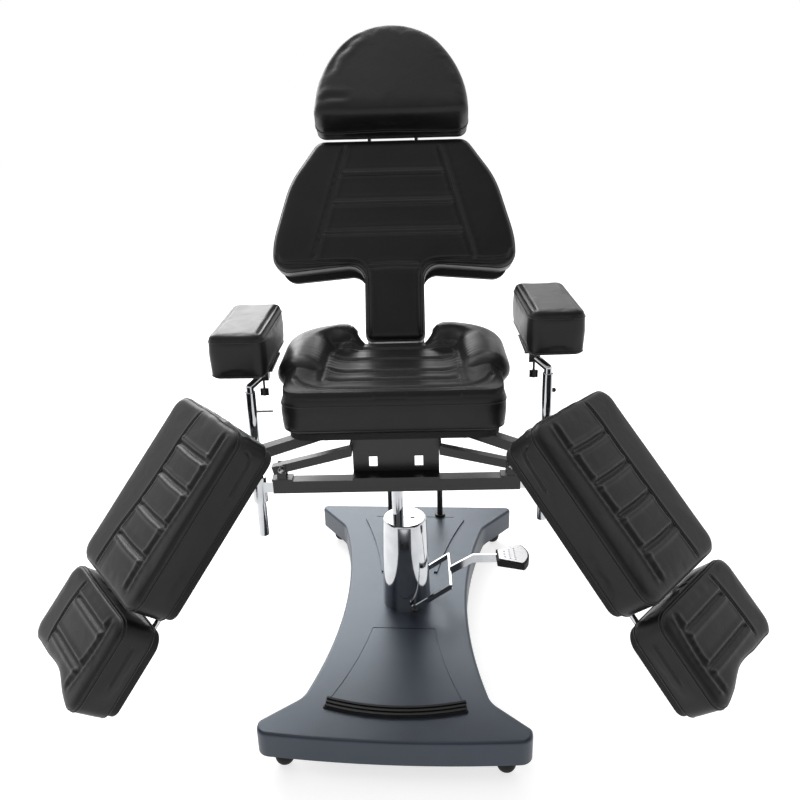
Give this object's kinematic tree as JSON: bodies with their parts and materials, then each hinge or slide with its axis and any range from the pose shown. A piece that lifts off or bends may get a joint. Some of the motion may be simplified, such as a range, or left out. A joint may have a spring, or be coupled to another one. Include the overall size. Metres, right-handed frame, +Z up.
{
  "type": "tattoo chair",
  "caption": "Pump-base tattoo chair with split swinging leg rests, sliding foot pads, reclining back, half-moon headrest and pole armrests in black leather.",
  "frame": {"origin": "on the floor, in the plane of the levelling feet's flat soles, under the axis of the pump's piston", "axes": "+Z up along the piston; the sitter faces -Y; +X is on the right of someone who faces the chair"},
  "size_m": [1.482, 1.2564, 1.4254],
  "materials": {
    "leather": "satin",
    "textured_plastic": "fine grain",
    "black_steel": "satin",
    "chrome": "polished",
    "steel": "satin",
    "bronze": "satin",
    "rubber": "matt",
    "wood": "matt",
    "knob_plastic": "gloss"
  },
  "bodies": {
    "base": {"base_cover": "textured_plastic", "base_frame": "black_steel", "base_underplate": "black_steel", "levelling_feet": "rubber", "tread_strip": "rubber", "carry_hoop": "black_steel", "pump_shroud": "chrome", "pump_cap": "chrome", "cap_screw": "steel", "pump_cylinder": "steel", "guide_bush": "bronze", "pedal_pivot_bolts": "black_steel"},
    "pedal": {"pedal_lever": "chrome", "pedal_pad": "rubber", "pedal_face": "steel"},
    "piston": {"piston_rod": "chrome"},
    "seat": {"swivel_hub": "black_steel", "seat_carrier": "black_steel", "cross_tube": "black_steel", "pole_holders": "chrome", "brace_clevises": "black_steel", "side_braces": "black_steel", "frame_bolts": "steel", "leg_beam": "black_steel", "back_rails": "black_steel", "recline_pin": "steel", "seat_board": "wood", "seat_cushion": "leather"},
    "back": {"back_bracket": "black_steel", "back_board": "wood", "back_cushion": "leather", "headrest_sleeves": "black_steel"},
    "headrest_stem": {"headrest_rods": "chrome"},
    "headrest": {"headrest_bracket": "black_steel", "headrest_board": "wood", "headrest_cushion": "leather"},
    "left_leg": {"left_leg_arm": "black_steel"},
    "left_leg_pad": {"left_leg_rails": "black_steel", "left_leg_board": "wood", "left_leg_cushion": "leather"},
    "left_foot": {"left_foot_slide": "chrome", "left_foot_board": "wood", "left_foot_cushion": "leather"},
    "left_pole": {"left_arm_pole": "chrome"},
    "left_lock": {"left_arm_lock": "steel"},
    "left_armrest": {"left_arm_neck": "chrome", "left_arm_cushion": "leather"},
    "left_knob": {"left_arm_knob": "knob_plastic"},
    "right_leg": {"right_leg_arm": "black_steel"},
    "right_leg_pad": {"right_leg_rails": "black_steel", "right_leg_board": "wood", "right_leg_cushion": "leather"},
    "right_foot": {"right_foot_slide": "chrome", "right_foot_board": "wood", "right_foot_cushion": "leather"},
    "right_pole": {"right_arm_pole": "chrome"},
    "right_lock": {"right_arm_lock": "knob_plastic"},
    "right_armrest": {"right_arm_neck": "chrome", "right_arm_cushion": "leather"},
    "right_knob": {"right_arm_knob": "knob_plastic"}
  },
  "joints": [
    {"name": "lift", "type": "slide", "parent": "base", "child": "piston", "axis": [0, 0, 1], "range_m": [-0.07, 0.13]},
    {"name": "seat_swivel", "type": "hinge", "parent": "piston", "child": "seat", "pos_m": [0, 0, 0.48], "axis": [0, 0, 1], "continuous": true},
    {"name": "pedal_press", "type": "hinge", "parent": "base", "child": "pedal", "pos_m": [0.035, 0, 0.118], "axis": [0, 1, 0], "range_deg": [0, 15], "stiffness_Nm_per_rad": 15, "springref_deg": -14.32},
    {"name": "back_recline", "type": "hinge", "parent": "seat", "child": "back", "pos_m": [0, 0.302, 0.612], "axis": [-1, 0, 0], "range_deg": [0, 64]},
    {"name": "headrest_slide", "type": "slide", "parent": "back", "child": "headrest_stem", "axis": [0, 0.4384, 0.8988], "range_m": [0, 0.08]},
    {"name": "headrest_tilt", "type": "hinge", "parent": "headrest_stem", "child": "headrest", "pos_m": [0, 0.60389, 1.22117], "axis": [-1, 0, 0], "range_deg": [0, 30]},
    {"name": "left_leg_swing", "type": "hinge", "parent": "seat", "child": "left_leg", "pos_m": [-0.158, 0, 0.56], "axis": [0, 0, -1], "range_deg": [-52, 6]},
    {"name": "left_leg_tilt", "type": "hinge", "parent": "left_leg", "child": "left_leg_pad", "pos_m": [-0.33136, -0.13545, 0.578], "axis": [0.6157, -0.788, 0], "range_deg": [-48, 14]},
    {"name": "left_foot_slide", "type": "slide", "parent": "left_leg_pad", "child": "left_foot", "axis": [-0.5273, -0.412, -0.7431], "range_m": [0, 0.08]},
    {"name": "left_pole_slide", "type": "slide", "parent": "seat", "child": "left_pole", "axis": [0, 0, 1], "range_m": [0, 0.09]},
    {"name": "left_armrest_swivel", "type": "hinge", "parent": "left_pole", "child": "left_armrest", "pos_m": [-0.312, -0.049, 0.676], "axis": [0, 0, 1], "range_deg": [0, 90]},
    {"name": "left_knob_turn", "type": "hinge", "parent": "left_armrest", "child": "left_knob", "pos_m": [-0.285, -0.025, 0.665], "axis": [0, 0, 1], "continuous": true},
    {"name": "left_lock_turn", "type": "hinge", "parent": "left_pole", "child": "left_lock", "pos_m": [-0.312, -0.049, 0.63], "axis": [1, 0, 0], "continuous": true},
    {"name": "right_leg_swing", "type": "hinge", "parent": "seat", "child": "right_leg", "pos_m": [0.158, 0, 0.56], "axis": [0, 0, 1], "range_deg": [-48, 10]},
    {"name": "right_leg_tilt", "type": "hinge", "parent": "right_leg", "child": "right_leg_pad", "pos_m": [0.32149, -0.14721, 0.578], "axis": [0.6691, 0.7431, 0], "range_deg": [-45, 17]},
    {"name": "right_foot_slide", "type": "slide", "parent": "right_leg_pad", "child": "right_foot", "axis": [0.5255, -0.4731, -0.7071], "range_m": [0, 0.08]},
    {"name": "right_pole_slide", "type": "slide", "parent": "seat", "child": "right_pole", "axis": [0, 0, 1], "range_m": [-0.03, 0.06]},
    {"name": "right_armrest_swivel", "type": "hinge", "parent": "right_pole", "child": "right_armrest", "pos_m": [0.332, -0.049, 0.706], "axis": [0, 0, -1], "range_deg": [0, 90]},
    {"name": "right_knob_turn", "type": "hinge", "parent": "right_armrest", "child": "right_knob", "pos_m": [0.305, -0.025, 0.695], "axis": [0, 0, 1], "continuous": true},
    {"name": "right_lock_turn", "type": "hinge", "parent": "right_pole", "child": "right_lock", "pos_m": [0.332, -0.049, 0.66], "axis": [0.7071, 0.7071, 0], "continuous": true}
  ]
}
